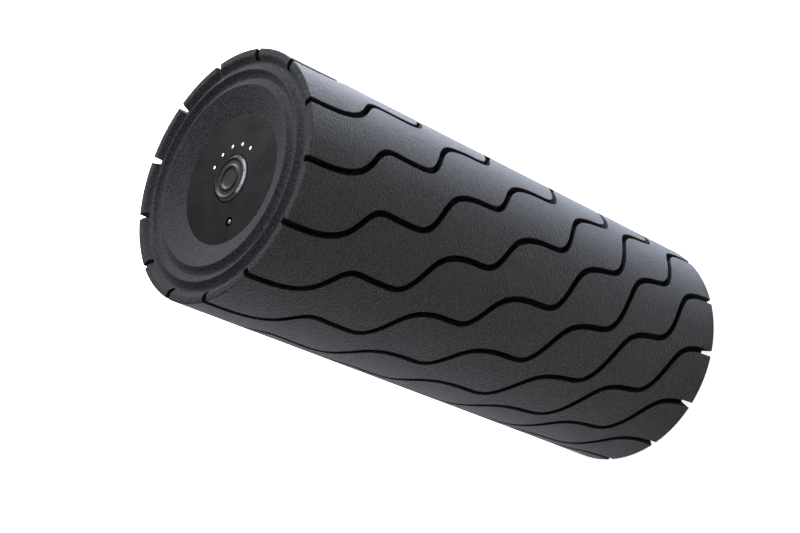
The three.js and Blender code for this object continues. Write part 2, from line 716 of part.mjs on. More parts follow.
function motorCanGeometry() {
  const inner = MOTOR_RADIUS - MOTOR_WALL;
  const outline = [
    [SHAFT_HOLE_RADIUS, MOTOR_BASE_Z],
    [MOTOR_RADIUS, MOTOR_BASE_Z],
    [MOTOR_RADIUS, MOTOR_TOP_Z],
    [inner, MOTOR_TOP_Z],
    [inner, MOTOR_BASE_Z + MOTOR_WALL],
    [SHAFT_HOLE_RADIUS, MOTOR_BASE_Z + MOTOR_WALL],
  ];
  return turned(outline, MIDDLE_FACETS);
}

function motorCoverGeometry() {
  const outer = MOTOR_RADIUS - MOTOR_WALL - GAP;
  return tube(SHAFT_HOLE_RADIUS, outer, MOTOR_TOP_Z - MOTOR_COVER_THICKNESS, MOTOR_TOP_Z, MIDDLE_FACETS);
}

function magnetGeometry(middleDeg) {
  const outer = MOTOR_RADIUS - MOTOR_WALL - GAP;
  const baseZ = MID_Z - MAGNET_LENGTH / 2;
  return arcPlate(MAGNET_INNER_RADIUS, outer, middleDeg, MAGNET_ARC_DEG, baseZ, MAGNET_LENGTH);
}

// The armature: poles with slots between them, on a common neck.
function rotorGeometry() {
  const shape = new THREE.Shape();
  const pitch = 360 / ROTOR_POLES;
  for (let pole = 0; pole < ROTOR_POLES; pole += 1) {
    const start = (pole * pitch + ROTOR_SLOT_DEG / 2) * DEG;
    const end = ((pole + 1) * pitch - ROTOR_SLOT_DEG / 2) * DEG;
    const next = ((pole + 1) * pitch + ROTOR_SLOT_DEG / 2) * DEG;
    shape.absarc(0, 0, ROTOR_RADIUS, start, end, false);
    shape.absarc(0, 0, ROTOR_NECK_RADIUS, end, next, false);
  }
  shape.closePath();
  shape.holes.push(hole(SHAFT_BORE_RADIUS));
  return plate(shape, MID_Z - ROTOR_LENGTH / 2, ROTOR_LENGTH, TINY_FACETS);
}

// A half-round weight on a hub.
function weightGeometry(baseZ) {
  const shape = new THREE.Shape();
  shape.absarc(0, 0, WEIGHT_RADIUS, 0, Math.PI, false);
  shape.absarc(0, 0, WEIGHT_HUB_RADIUS, Math.PI, FULL_TURN, false);
  shape.closePath();
  shape.holes.push(hole(SHAFT_BORE_RADIUS));
  return plate(shape, baseZ, WEIGHT_THICKNESS, SMALL_FACETS);
}

// The balls of a bearing, joined by their cage.
function ballSetGeometry(middleZ) {
  const cage = tube(
    BALL_CIRCLE_RADIUS - CAGE_HALF_WIDTH,
    BALL_CIRCLE_RADIUS + CAGE_HALF_WIDTH,
    middleZ - CAGE_HALF_HEIGHT,
    middleZ + CAGE_HALF_HEIGHT,
    SMALL_FACETS,
  );
  const balls = Array.from({ length: BALL_COUNT }, (_, i) => {
    const [x, y] = polar(BALL_CIRCLE_RADIUS, (i * 360) / BALL_COUNT);
    return new THREE.IcosahedronGeometry(BALL_RADIUS, 0).translate(x, y, middleZ);
  });
  return join([cage, ...balls]);
}

// ---------- Battery pack and leads ----------

function cellGeometry(x, y) {
  const top = CELL_BASE_Z + CELL_LENGTH;
  const outline = [
    [0, CELL_BASE_Z],
    [CELL_RADIUS, CELL_BASE_Z],
    [CELL_RADIUS, top],
    [CELL_TERMINAL_RADIUS, top],
    [CELL_TERMINAL_RADIUS, top + CELL_TERMINAL_HEIGHT],
    [0, top + CELL_TERMINAL_HEIGHT],
  ];
  return turned(outline, SMALL_FACETS).translate(x, y, 0);
}

// A round lead along a smooth curve through the given points.
function leadGeometry(points, steps) {
  const curve = new THREE.CatmullRomCurve3(points.map((point) => new THREE.Vector3(...point)));
  const section = new THREE.Shape();
  for (let side = 0; side < LEAD_SIDES; side += 1) {
    const [x, y] = polar(LEAD_RADIUS, (side * 360) / LEAD_SIDES);
    if (side === 0) section.moveTo(x, y);
    else section.lineTo(x, y);
  }
  return new THREE.ExtrudeGeometry(section, { steps, extrudePath: curve, bevelEnabled: false });
}

// ---------- The object ----------

const roller = new THREE.Group();

function material(colour, roughness, metalness = 0) {
  return () => new THREE.MeshStandardMaterial({ color: colour, roughness, metalness });
}

const sleeveFoam = material(0x34373a, 0.92);
const ringFoam = material(0x3a3c3e, 0.95);
const discPlastic = material(0x2f3033, 0.38);
const buttonPlastic = material(0x2b2c2f, 0.32);
const corePlastic = material(0x4a4c50, 0.6);
const capPlastic = material(0x26272a, 0.55);
const clearPlastic = material(0xf2f5f7, 0.25);
const boardGreen = material(0x1f5a3a, 0.5);
const blackPlastic = material(0x151617, 0.45);
const steel = material(0xb8bcc0, 0.3, 1);
const zincSteel = material(0x9fa3a6, 0.35, 1);
const magnetFerrite = material(0x3b3b3d, 0.7);
const copper = material(0xb87445, 0.35, 1);
const cellWrap = material(0x2f6fa8, 0.4);
const leadRed = material(0x9b2a24, 0.5);
const leadBlack = material(0x1a1a1b, 0.5);

function addMesh(name, geometry, makeMaterial) {
  const mesh = new THREE.Mesh(geometry, makeMaterial());
  mesh.name = name;
  roller.add(mesh);
  return mesh;
}

// Turns a geometry made for the top end into the one at the bottom end.
function atBottom(geometry) {
  return geometry.rotateX(Math.PI).translate(0, 0, LENGTH);
}

function addFoam() {
  addMesh("foam_sleeve", sleeveGeometry(), sleeveFoam);
  addMesh("foam_ring_control_end", endRingGeometry(), ringFoam);
  addMesh("foam_ring_plain_end", atBottom(endRingGeometry()), ringFoam);
}

function addCore() {
  const core = coreGeometry();
  addMesh("core_shell_left", coreHalf(core, -1), corePlastic);
  addMesh("core_shell_right", coreHalf(core, 1), corePlastic);
  shellScrewPlaces().forEach(([y, z], i) => {
    const screw = addMesh("core_screw_" + (i + 1), screwGeometry(SHELL_SCREW_LENGTH), steel);
    screw.rotation.y = Math.PI / 2;
    screw.position.set(-SHELL_SCREW_LENGTH / 2, y, z);
  });
}

function addCapScrews(end, z) {
  const tipRadius = SHELL_INNER_RADIUS - CAP_SCREW_LENGTH + GAP;
  CAP_SCREW_ANGLES_DEG.forEach((degrees, i) => {
    const screw = addMesh("cap_screw_" + end + "_" + (i + 1), screwGeometry(CAP_SCREW_LENGTH), steel);
    screw.rotation.set(0, Math.PI / 2, degrees * DEG, "ZYX");
    screw.position.set(...polar(tipRadius, degrees), z);
  });
}

function addEnds() {
  addMesh("cap_control_end", controlCapGeometry(), capPlastic);
  addMesh("cap_plain_end", atBottom(capGeometry([], [])), capPlastic);
  addMesh("control_disc", controlDiscGeometry(), discPlastic);
  addMesh("plain_disc", atBottom(discGeometry()), discPlastic);
  addCapScrews("control_end", LENGTH - CAP_SCREW_DEPTH);
  addCapScrews("plain_end", CAP_SCREW_DEPTH);
}

function addControls() {
  const onBoard = BOARD_TOP_Z + GAP;
  addMesh("power_button", buttonGeometry(), buttonPlastic);
  addMesh("switch_body", switchBodyGeometry(), blackPlastic);
  const plunger = rod(PLUNGER_RADIUS, PLUNGER_BASE_Z, PLUNGER_TOP_Z, TINY_FACETS);
  addMesh("switch_plunger", plunger, steel);
  addMesh("light_guide", lightGuideGeometry(), clearPlastic);
  ledAngles().forEach((degrees, i) => {
    const [x, y] = polar(LED_CIRCLE_RADIUS, degrees);
    addMesh("led_" + (i + 1), block(LED_SIZE, LED_SIZE, LED_HEIGHT, x, y, onBoard), clearPlastic);
  });
  const jackBody = addMesh("jack_body", jackBodyGeometry(), blackPlastic);
  jackBody.position.y = -JACK_CIRCLE_RADIUS;
  const jackPin = addMesh("jack_pin", jackPinGeometry(), steel);
  jackPin.position.y = -JACK_CIRCLE_RADIUS;
  addMesh("control_board", controlBoardGeometry(), boardGreen);
  const chip = block(CHIP_SIZE, CHIP_SIZE, CHIP_HEIGHT, CHIP_OFFSET, 0, onBoard);
  addMesh("control_chip", chip, blackPlastic);
  const tipZ = BOARD_TOP_Z - BOARD_THICKNESS - GAP - BOARD_SCREW_LENGTH;
  BOARD_SCREW_ANGLES_DEG.forEach((degrees, i) => {
    const geometry = screwGeometry(BOARD_SCREW_LENGTH).rotateX(Math.PI);
    const screw = addMesh("board_screw_" + (i + 1), geometry, steel);
    screw.position.set(...polar(BOARD_SCREW_CIRCLE_RADIUS, degrees), tipZ + 2 * BOARD_SCREW_LENGTH);
  });
}

function addBearing(end, baseZ) {
  const topZ = baseZ + BEARING_WIDTH;
  const inner = tube(SHAFT_BORE_RADIUS, BEARING_INNER_OUTER_RADIUS, baseZ, topZ, SMALL_FACETS);
  const outer = tube(BEARING_OUTER_INNER_RADIUS, BEARING_OUTER_RADIUS, baseZ, topZ, SMALL_FACETS);
  addMesh("bearing_inner_" + end, inner, steel);
  addMesh("bearing_balls_" + end, ballSetGeometry(baseZ + BEARING_WIDTH / 2), steel);
  addMesh("bearing_outer_" + end, outer, steel);
}

function addDrive() {
  addMesh("motor_can", motorCanGeometry(), zincSteel);
  addMesh("motor_cover", motorCoverGeometry(), blackPlastic);
  addMesh("motor_magnet_1", magnetGeometry(0), magnetFerrite);
  addMesh("motor_magnet_2", magnetGeometry(180), magnetFerrite);
  addMesh("motor_rotor", rotorGeometry(), copper);
  const commutatorBase = MID_Z + COMMUTATOR_OFFSET;
  const commutator = tube(
    SHAFT_BORE_RADIUS,
    COMMUTATOR_RADIUS,
    commutatorBase,
    commutatorBase + COMMUTATOR_LENGTH,
    SMALL_FACETS,
  );
  addMesh("motor_commutator", commutator, copper);
  const shaft = rod(SHAFT_RADIUS, MID_Z - SHAFT_HALF_LENGTH, MID_Z + SHAFT_HALF_LENGTH, SMALL_FACETS);
  addMesh("drive_shaft", shaft, steel);
  addMesh("weight_upper", weightGeometry(MID_Z + WEIGHT_OFFSET), zincSteel);
  addMesh("weight_lower", weightGeometry(MID_Z - WEIGHT_OFFSET - WEIGHT_THICKNESS), zincSteel);
  addBearing("upper", MID_Z + BEARING_OFFSET);
  addBearing("lower", MID_Z - BEARING_OFFSET - BEARING_WIDTH);
}

function addBattery() {
  for (let i = 0; i < CELL_COUNT; i += 1) {
    const [x, y] = polar(CELL_CIRCLE_RADIUS, CELL_FIRST_DEG + (i * 360) / CELL_COUNT);
    addMesh("battery_cell_" + (i + 1), cellGeometry(x, y), cellWrap);
  }
  const boardBase = PACK_TOP_Z + RIB_THICKNESS + GAP;
  addMesh("battery_board", block(...PACK_BOARD_SIZE, PACK_BOARD_X, 0, boardBase), boardGreen);
}

function addLeads() {
  const boardBase = BOARD_TOP_Z - BOARD_THICKNESS;
  const packLeadZ = PACK_TOP_Z + RIB_THICKNESS + PACK_BOARD_SIZE[2] + LEAD_RADIUS + 2 * GAP;
  const packSide = polar(LEAD_CIRCLE_RADIUS, BATTERY_LEAD_DEG);
  const packEnd = polar(BOARD_RADIUS / 2, BATTERY_LEAD_DEG);
  const packRises = BATTERY_LEAD_RISES.map((rise) => packLeadZ + rise);
  const packDrops = BATTERY_LEAD_DROPS.map((drop) => boardBase - drop);
  const packRoute = [
    [PACK_BOARD_X, 0, packRises[0]],
    [packSide[0], packSide[1] / 2, packRises[1]],
    [packSide[0], packSide[1] * LEAD_CORNER_SHARE, packRises[2]],
    [...packSide, packRises[3]],
    [...packSide, packRises[4]],
    [...packSide, packDrops[0]],
    [...packSide, packDrops[1]],
    [...packEnd, packDrops[2]],
    [...packEnd, boardBase - GAP],
  ];
  addMesh("battery_lead", leadGeometry(packRoute, BATTERY_LEAD_STEPS), leadRed);
  const motorStart = polar((MOTOR_RADIUS * 2) / 3, MOTOR_LEAD_DEG);
  const motorSide = polar(LEAD_CIRCLE_RADIUS, MOTOR_LEAD_DEG);
  const motorEnd = polar(BOARD_RADIUS / 2, MOTOR_LEAD_DEG);
  const motorRises = MOTOR_LEAD_RISES.map((rise) => MOTOR_TOP_Z + LEAD_RADIUS + GAP + rise);
  const motorDrops = MOTOR_LEAD_DROPS.map((drop) => boardBase - drop);
  const motorRoute = [
    [...motorStart, motorRises[0]],
    [...polar(LEAD_CIRCLE_RADIUS * MOTOR_LEAD_SHARE, MOTOR_LEAD_DEG), motorRises[0]],
    [...motorSide, motorRises[1]],
    [...motorSide, motorRises[2]],
    [...motorSide, motorDrops[0]],
    [...motorSide, motorDrops[1]],
    [...motorEnd, motorDrops[2]],
    [...motorEnd, boardBase - GAP],
  ];
  addMesh("motor_lead", leadGeometry(motorRoute, MOTOR_LEAD_STEPS), leadBlack);
}

addFoam();
addCore();
addEnds();
addControls();
addDrive();
addBattery();
addLeads();

export default roller;
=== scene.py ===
import json
import math

import bpy
import numpy as np
from mathutils import Matrix, Vector


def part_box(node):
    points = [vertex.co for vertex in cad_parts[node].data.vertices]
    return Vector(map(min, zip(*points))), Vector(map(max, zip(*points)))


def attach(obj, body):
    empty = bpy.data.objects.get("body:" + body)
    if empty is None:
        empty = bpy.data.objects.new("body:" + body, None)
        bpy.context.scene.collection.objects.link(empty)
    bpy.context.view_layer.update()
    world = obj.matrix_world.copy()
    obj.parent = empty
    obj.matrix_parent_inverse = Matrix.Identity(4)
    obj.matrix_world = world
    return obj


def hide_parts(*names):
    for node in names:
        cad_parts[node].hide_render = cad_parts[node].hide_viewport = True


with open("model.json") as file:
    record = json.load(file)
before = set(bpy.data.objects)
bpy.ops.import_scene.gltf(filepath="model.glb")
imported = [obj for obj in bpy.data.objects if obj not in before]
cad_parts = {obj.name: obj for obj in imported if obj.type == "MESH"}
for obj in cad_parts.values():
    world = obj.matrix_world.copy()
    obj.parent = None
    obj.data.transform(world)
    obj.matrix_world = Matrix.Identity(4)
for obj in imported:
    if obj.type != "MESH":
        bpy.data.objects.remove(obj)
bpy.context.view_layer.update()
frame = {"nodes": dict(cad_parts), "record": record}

MM = 0.001

# ---------- Sizes that come from the frame ----------

SLEEVE_LOW, SLEEVE_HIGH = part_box("foam_sleeve")
DISC_LOW, DISC_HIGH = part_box("control_disc")
RING_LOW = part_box("foam_ring_control_end")[0]
BUTTON_LOW, BUTTON_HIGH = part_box("power_button")
GUIDE_LOW, GUIDE_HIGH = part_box("light_guide")
JACK_LOW, JACK_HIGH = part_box("jack_body")
JACK_PIN_LOW, JACK_PIN_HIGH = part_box("jack_pin")

LENGTH = SLEEVE_HIGH.z - SLEEVE_LOW.z
RADIUS = SLEEVE_HIGH.x
MIDDLE = Vector((0, 0, LENGTH / 2))
DISC_RADIUS = DISC_HIGH.x
JACK_CENTRE = (JACK_LOW + JACK_HIGH) / 2
JACK_PIN_RADIUS = (JACK_PIN_HIGH.x - JACK_PIN_LOW.x) / 2

# ---------- Sizes that the frame's boxes don't give, in metres unless a comment says otherwise ----------

GROOVE_COUNT = 13
GROOVE_START_DEG = 13.2
GROOVE_HALF_WIDTH = 1.6 * MM
GROOVE_FLOOR_RADIUS = 57.8 * MM
GROOVE_LIP_COLUMNS = 4  # columns of points at each side of a groove's section that are on its lip
BENDS = [  # depth in mm, turn in degrees, and how far the bend is lopsided as a share of the turn
    (39.7, 18.3, 0.18),
    (83.9, 24.4, -0.1),
    (129.3, 21.5, -0.14),
    (177.6, 27.7, -0.11),
    (221.3, 34.7, -0.05),
    (262.4, 31.4, -0.07),
]
BEND_LENGTH_MM = 7.2
BEND_EASE = -0.03  # draws out the two ends of a bend, as a share of its turn per bend length
BEND_REACH = 2  # how far from a bend its ease and its lopsidedness reach, in bend lengths
STEADY_TURN = 0.014  # turn of the grooves between bends, in degrees per mm of depth
TREAD_COLUMNS = 6  # columns of points on the tread between two grooves
TREAD_MARGIN_MM = 4.2  # depth of the first row on the tread, below the end face
TREAD_STEP_MM = 1.5
TREAD_SAMPLES = 4000
WALL_STEP = 0.14 * MM  # how far apart an end face's rows are where they run down a groove's wall

SEAM_RADIUS = 49.15 * MM
OUTER_CREST_RADIUS = 52.7 * MM
VALLEY_RADIUS = 56.8 * MM
VALLEY_DEPTH = 2.3 * MM
RIM_INNER_RADIUS = 60.6 * MM
EDGE_ROUND = 0.6 * MM
CREST_SOFTNESS = 0.3 * MM
# How far from a crest the rows of points beside it are: closer together where it curves most
CREST_ROW_DISTANCES = [0.25 * MM, 0.5 * MM, 0.8 * MM, 1.2 * MM, 1.8 * MM, 2.5 * MM]
LAST_CREST_ROW = 3.4 * MM
RIM_ROWS = 8  # rows of points from the valley up to the rim

RING_SEAM_GAP = 0.05 * MM
RING_DISC_GAP = 0.06 * MM
RING_LIP_ROUND = 0.15 * MM
INNER_CREST_RADIUS = 45.2 * MM
INNER_CREST_DEPTH = 0.3 * MM
INNER_CREST_ROUND = 0.45 * MM
INNER_CREST_ROW_DISTANCES = [0.5 * MM, 0.8 * MM, 1.2 * MM, 1.8 * MM, 2.5 * MM, 3.2 * MM, 3.9 * MM]
CONE_DEPTH = 5.5 * MM

BUTTON_RADIUS = 11.8 * MM
BUTTON_HOLE_RADIUS = 12.25 * MM
BUTTON_POST_RADIUS = 2.2 * MM
BUTTON_FLANGE_GAP = 0.3 * MM
BUTTON_FLANGE_HEIGHT = 1.8 * MM
BUTTON_FACE_MM = [  # radius, and depth below the highest rings
    (0.0, 0.70), (1.5, 0.70), (3.0, 0.69), (4.2, 0.67), (4.7, 0.63), (4.95, 0.54),  # dish
    (5.4, 0.17), (5.6, 0.05), (5.8, 0.0), (6.0, 0.01), (6.2, 0.08),  # inner ring
    (6.65, 0.40), (6.85, 0.50), (7.1, 0.54), (7.6, 0.56),  # fall into the sunk band
    (8.5, 0.56), (8.8, 0.54), (9.0, 0.47),  # rise out of it
    (9.4, 0.15), (9.6, 0.04), (9.8, 0.0), (10.05, 0.0),  # outer ring
    (10.2, 0.03), (10.3, 0.09), (10.4, 0.18),  # its turn down into the slope
    (10.5, 0.264), (11.35, 0.978),  # slope
    (11.43, 1.05), (11.57, 1.19), (11.69, 1.38), (11.77, 1.6), (11.8, 1.85),  # its turn down into the wall
]
POLISHED_INNER_RADIUS = 10.48 * MM
POLISHED_OUTER_RADIUS = 11.77 * MM

LED_ANGLES_DEG = [40, 65, 90, 115, 140]
LED_CIRCLE_RADIUS = 17.2 * MM
LIGHT_PIN_RADIUS = 0.88 * MM
LIGHT_PIN_DOME = 0.35 * MM
LIGHT_HOLE_RADIUS = 1.02 * MM
LIGHT_BAR_HALF_WIDTH = 1.6 * MM
LIGHT_BAR_OVERHANG_DEG = 6.25  # how far the bar runs on past its end pins
LIGHT_BAR_LIFT = 2.8 * MM  # above the lower ends of the pins
LIGHT_BAR_HEIGHT = 1.5 * MM
LIGHT_BAR_STEPS = 45

JACK_BORE_RADIUS = 2.45 * MM
JACK_FLOOR_THICKNESS = 1.6 * MM
JACK_ROUND = 0.2 * MM
JACK_MOUTH_ROUND = 0.15 * MM
JACK_PIN_SUNK = 0.2 * MM
JACK_PIN_DOME_SHARE = 0.12  # height of the pin's dome as a share of its radius

HOLE_EDGE_ROUND = 0.18 * MM
PLAIN_EDGE_ROUND = 0.35 * MM
CUTTER_MARGIN = 1.0 * MM
SHARP_ANGLE = math.radians(50)
BEVEL_ANGLE = math.radians(40)

RING_SEGMENTS = 240
DISC_SEGMENTS = 192
BUTTON_SEGMENTS = 192
BUTTON_HOLE_SEGMENTS = 128
JACK_SEGMENTS = 64
JACK_PIN_SEGMENTS = 48
LIGHT_PIN_SEGMENTS = 32

# ---------- Camera, lights and floor, in metres and watts ----------

CAMERA_AZIMUTH_DEG = 55.68
CAMERA_ELEVATION_DEG = 38.91
CAMERA_ROLL_DEG = -66.58
CAMERA_DISTANCE = 0.9342
CAMERA_ASIDE = -0.0220
CAMERA_ABOVE = 0.0025
LENS_MM = 81.08
SENSOR_MM = 36
CLIP_START = 0.01
CLIP_END = 50.0

CONTROL_FACE = (0.0, 0.0, 0.3)
LOWER_HALF = (0.0, 0.0, 0.12)
ACROSS = (1.0, 0.0, 0.0)
BLUE_WHITE = (0.83, 0.88, 1.0)
COOL_WHITE = (0.86, 0.89, 1.0)
NEAR_WHITE = (0.95, 0.97, 1.0)
AREA_LIGHTS = [  # name, place, aim, length, width, watts, colour, and which way its length lies
    ("key_softbox", (-0.23, 1.25, 0.13), LOWER_HALF, 1.0, 0.32, 87.0, BLUE_WHITE, ACROSS),
    ("upper_softbox", (-0.5, 1.05, 0.97), CONTROL_FACE, 0.62, 0.62, 17.0, NEAR_WHITE, ACROSS),
    ("high_strip", (0.33, 0.92, 0.98), CONTROL_FACE, 1.0, 0.2, 2.2, COOL_WHITE, (0.54, -0.51, 0.42)),
    ("side_strip", (0.575, 0.06, 1.34), CONTROL_FACE, 1.05, 0.24, 3.0, COOL_WHITE, (0.21, 0.84, -0.13)),
    ("low_strip", (0.14, -0.56, 1.28), CONTROL_FACE, 0.55, 0.24, 0.8, COOL_WHITE, (0.83, 0.53, 0.16)),
]
WORLD_STRENGTH = 0.2
FLOOR_HALF_SIZE = 4.0
FLOOR_GLOW = 0.85


def add_camera():
    """The camera looks down on the control end, rolled so that the roller lies across the frame."""
    azimuth, elevation = math.radians(CAMERA_AZIMUTH_DEG), math.radians(CAMERA_ELEVATION_DEG)
    roll = math.radians(CAMERA_ROLL_DEG)
    back = Vector((
        math.sin(azimuth) * math.cos(elevation),
        -math.cos(azimuth) * math.cos(elevation),
        math.sin(elevation),
    ))
    level_right = Vector((math.cos(azimuth), math.sin(azimuth), 0))
    level_up = back.cross(level_right)
    right = level_right * math.cos(roll) + level_up * math.sin(roll)
    up = back.cross(right)
    camera = bpy.data.objects.new("camera", bpy.data.cameras.new("camera"))
    bpy.context.scene.collection.objects.link(camera)
    camera.data.lens = LENS_MM
    camera.data.sensor_width = SENSOR_MM
    camera.data.clip_start = CLIP_START
    camera.data.clip_end = CLIP_END
    place = Matrix((right, up, back)).transposed().to_4x4()
    place.translation = MIDDLE + right * CAMERA_ASIDE + up * CAMERA_ABOVE + back * CAMERA_DISTANCE
    camera.matrix_world = place
    bpy.context.scene.camera = camera


# ---------- Material nodes ----------

class Nodes:
    """A material's node tree, with short calls for the nodes used here."""

    def __init__(self, name):
        self.material = bpy.data.materials.new(name)
        self.material.use_nodes = True
        self.tree = self.material.node_tree
        self.shader = self.tree.nodes["Principled BSDF"]
        self.place = self.tree.nodes.new("ShaderNodeTexCoord").outputs["Object"]

    def add(self, kind, inputs=None, **settings):
        node = self.tree.nodes.new(kind)
        for key, value in settings.items():
            setattr(node, key, value)
        for key, value in (inputs or {}).items():
            self.give(node.inputs[key], value)
        return node

    def give(self, socket, value):
        if isinstance(value, bpy.types.NodeSocket):
            self.tree.links.new(value, socket)
        else:
            socket.default_value = value

    def noise(self, scale, detail=2.0, roughness=0.5, vector=None):
        inputs = {"Vector": vector or self.place, "Scale": scale, "Detail": detail, "Roughness": roughness}
        return self.add("ShaderNodeTexNoise", inputs).outputs["Fac"]

    def cells(self, scale):
        inputs = {"Vector": self.place, "Scale": scale}
        return self.add("ShaderNodeTexVoronoi", inputs, feature="F1").outputs["Distance"]

    def spread(self, value, low, high, to_low, to_high):
        inputs = {"Value": value, "From Min": low, "From Max": high, "To Min": to_low, "To Max": to_high}
        return self.add("ShaderNodeMapRange", inputs).outputs["Result"]

    def maths(self, operation, a, b=0.0):
        node = self.add("ShaderNodeMath", operation=operation)
        self.give(node.inputs[0], a)
        self.give(node.inputs[1], b)
        return node.outputs[0]

    def mix(self, share, a, b):
        node = self.add("ShaderNodeMix", data_type="RGBA")
        self.give(node.inputs["Factor"], share)
        self.give(node.inputs["A"], a)
        self.give(node.inputs["B"], b)
        return node.outputs["Result"]

    def bump(self, height, distance):
        inputs = {"Height": height, "Distance": distance, "Strength": 1.0}
        return self.add("ShaderNodeBump", inputs).outputs["Normal"]

    def set(self, **values):
        for key, value in values.items():
            self.give(self.shader.inputs[key.replace("_", " ")], value)
        return self.material


def grey(value, tint=(1.0, 1.0, 1.0)):
    """A grey, tinted by a factor for each of red, green and blue."""
    return (value * tint[0], value * tint[1], value * tint[2], 1.0)


def opaque(colour):
    return (*colour, 1.0)


def foam_material(name, dark, light, tint, grain_depth, sheen, grain_scale=1.0, specular=0.25):
    """Closed-cell foam: a sandy grain over fine cells, and a skin that brightens at a glancing angle."""
    n = Nodes(name)
    sand = n.noise(2300 * grain_scale, detail=2.0, roughness=0.7)
    grain = n.noise(1150 * grain_scale, detail=3.0, roughness=0.6)
    cell = n.spread(n.cells(1000 * grain_scale), 0.1, 0.6, 0.0, 1.0)
    mottle = n.noise(60, detail=3.0)
    speckle = n.maths("ADD", n.maths("MULTIPLY", sand, 0.45), n.maths("MULTIPLY", grain, 0.55))
    speckle = n.spread(speckle, 0.38, 0.66, 0.0, 1.0)
    shade = n.maths("ADD", n.maths("MULTIPLY", speckle, 0.85), n.maths("MULTIPLY", mottle, 0.15))
    height = n.maths("ADD", n.maths("MULTIPLY", speckle, 0.6), n.maths("MULTIPLY", cell, 0.4))
    return n.set(
        Base_Color=n.mix(shade, grey(dark, tint), grey(light, tint)),
        Roughness=n.spread(grain, 0.3, 0.7, 0.66, 0.8),
        Specular_IOR_Level=specular,
        Sheen_Weight=sheen,
        Sheen_Roughness=0.3,
        Sheen_Tint=(0.77, 0.83, 1.0, 1.0),
        Normal=n.bump(height, grain_depth),
    )


def smooth_plastic_material(name, shade, tint, roughness, texture_depth=0.004 * MM, ior=1.5):
    """Moulded plastic with a faint spark-eroded texture and soft smudges."""
    n = Nodes(name)
    texture = n.noise(2600, detail=2.0)
    smudge = n.noise(70, detail=4.0, roughness=0.6)
    smudged = n.spread(smudge, 0.3, 0.75, 0.0, 1.0)
    return n.set(
        Base_Color=n.mix(smudged, grey(shade * 0.9, tint), grey(shade * 1.12, tint)),
        Roughness=n.spread(smudge, 0.25, 0.75, roughness - 0.05, roughness + 0.07),
        IOR=ior,
        Normal=n.bump(texture, texture_depth),
    )


def metal_material(name, colour, roughness, brushed_along=None):
    """Metal with fine machining marks and slight dulling."""
    n = Nodes(name)
    stretch = {"x": (60, 2200, 2200), "z": (2200, 2200, 60)}.get(brushed_along, (1400, 1400, 1400))
    scaled = n.add("ShaderNodeVectorMath", {0: n.place, 1: stretch}, operation="MULTIPLY").outputs[0]
    marks = n.noise(1.0, detail=3.0, vector=scaled)
    dull = n.noise(120, detail=3.0)
    darker = [c * 0.82 for c in colour]
    return n.set(
        Base_Color=n.mix(n.spread(dull, 0.35, 0.7, 0.0, 1.0), opaque(colour), opaque(darker)),
        Metallic=1.0,
        Roughness=n.spread(marks, 0.25, 0.75, roughness - 0.06, roughness + 0.1),
        Normal=n.bump(marks, 0.003 * MM),
    )


def board_material(name):
    """Solder mask over copper tracks."""
    n = Nodes(name)
    layout = {"Vector": n.place, "Scale": 160.0, "Mortar Size": 0.03}
    shades = {"Color1": grey(1), "Color2": grey(1), "Mortar": grey(0)}
    tracks = n.add("ShaderNodeTexBrick", layout | shades).outputs["Fac"]
    mottle = n.noise(200)
    green = n.mix(n.spread(mottle, 0.3, 0.7, 0.0, 1.0), (0.008, 0.07, 0.03, 1.0), (0.014, 0.11, 0.045, 1.0))
    return n.set(
        Base_Color=n.mix(tracks, green, (0.03, 0.17, 0.07, 1.0)),
        Roughness=n.spread(mottle, 0.3, 0.7, 0.3, 0.45),
        Normal=n.bump(tracks, 0.03 * MM),
    )


def light_material(name, strength):
    """Slightly hazy clear plastic lit from behind."""
    n = Nodes(name)
    haze = n.noise(900, detail=2.0)
    return n.set(
        Base_Color=n.mix(haze, (0.8, 0.84, 0.88, 1.0), (0.95, 0.97, 1.0, 1.0)),
        Roughness=n.spread(haze, 0.3, 0.7, 0.18, 0.3),
        Emission_Color=n.mix(haze, (0.9, 0.95, 1.0, 1.0), (1.0, 1.0, 1.0, 1.0)),
        Emission_Strength=strength,
    )


def rubber_material(name, colour):
    """Wire insulation with a faint bloom."""
    n = Nodes(name)
    bloom = n.noise(300, detail=3.0)
    paler = [c * 1.35 + 0.01 for c in colour]
    return n.set(
        Base_Color=n.mix(n.spread(bloom, 0.35, 0.75, 0.0, 1.0), opaque(colour), opaque(paler)),
        Roughness=n.spread(bloom, 0.3, 0.7, 0.45, 0.6),
        Normal=n.bump(bloom, 0.01 * MM),
    )


def paper_material(name):
    """Pale paper with a faint grain, lit enough to read as white."""
    n = Nodes(name)
    grain = n.noise(300, detail=3.0)
    return n.set(
        Base_Color=n.mix(n.spread(grain, 0.3, 0.7, 0.0, 1.0), grey(0.84), grey(0.87)),
        Roughness=0.9,
        Specular_IOR_Level=0.1,
        Emission_Color=(1.0, 1.0, 1.0, 1.0),
        Emission_Strength=FLOOR_GLOW,
    )


# ---------- Mesh helpers ----------

def new_object(name, points, faces):
    """A mesh object in the scene, with no material yet."""
    mesh = bpy.data.meshes.new(name)
    mesh.from_pydata(points, [], faces)
    mesh.validate()
    made = bpy.data.objects.new(name, mesh)
    bpy.context.scene.collection.objects.link(made)
    return made


def add_weighted_normals(piece):
    """Small roundings then shade cleanly beside large flat faces."""
    piece.modifiers.new("weighted_normals", "WEIGHTED_NORMAL").keep_sharp = True


def new_piece(name, points, faces, material, body, replaced):
    """A mesh piece that stands for CAD nodes."""
    piece = new_object(name, points, faces)
    piece.data.materials.append(material)
    piece.data.shade_smooth()
    piece.data.set_sharp_from_angle(angle=SHARP_ANGLE)
    add_weighted_normals(piece)
    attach(piece, body)
    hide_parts(*replaced)
    return piece


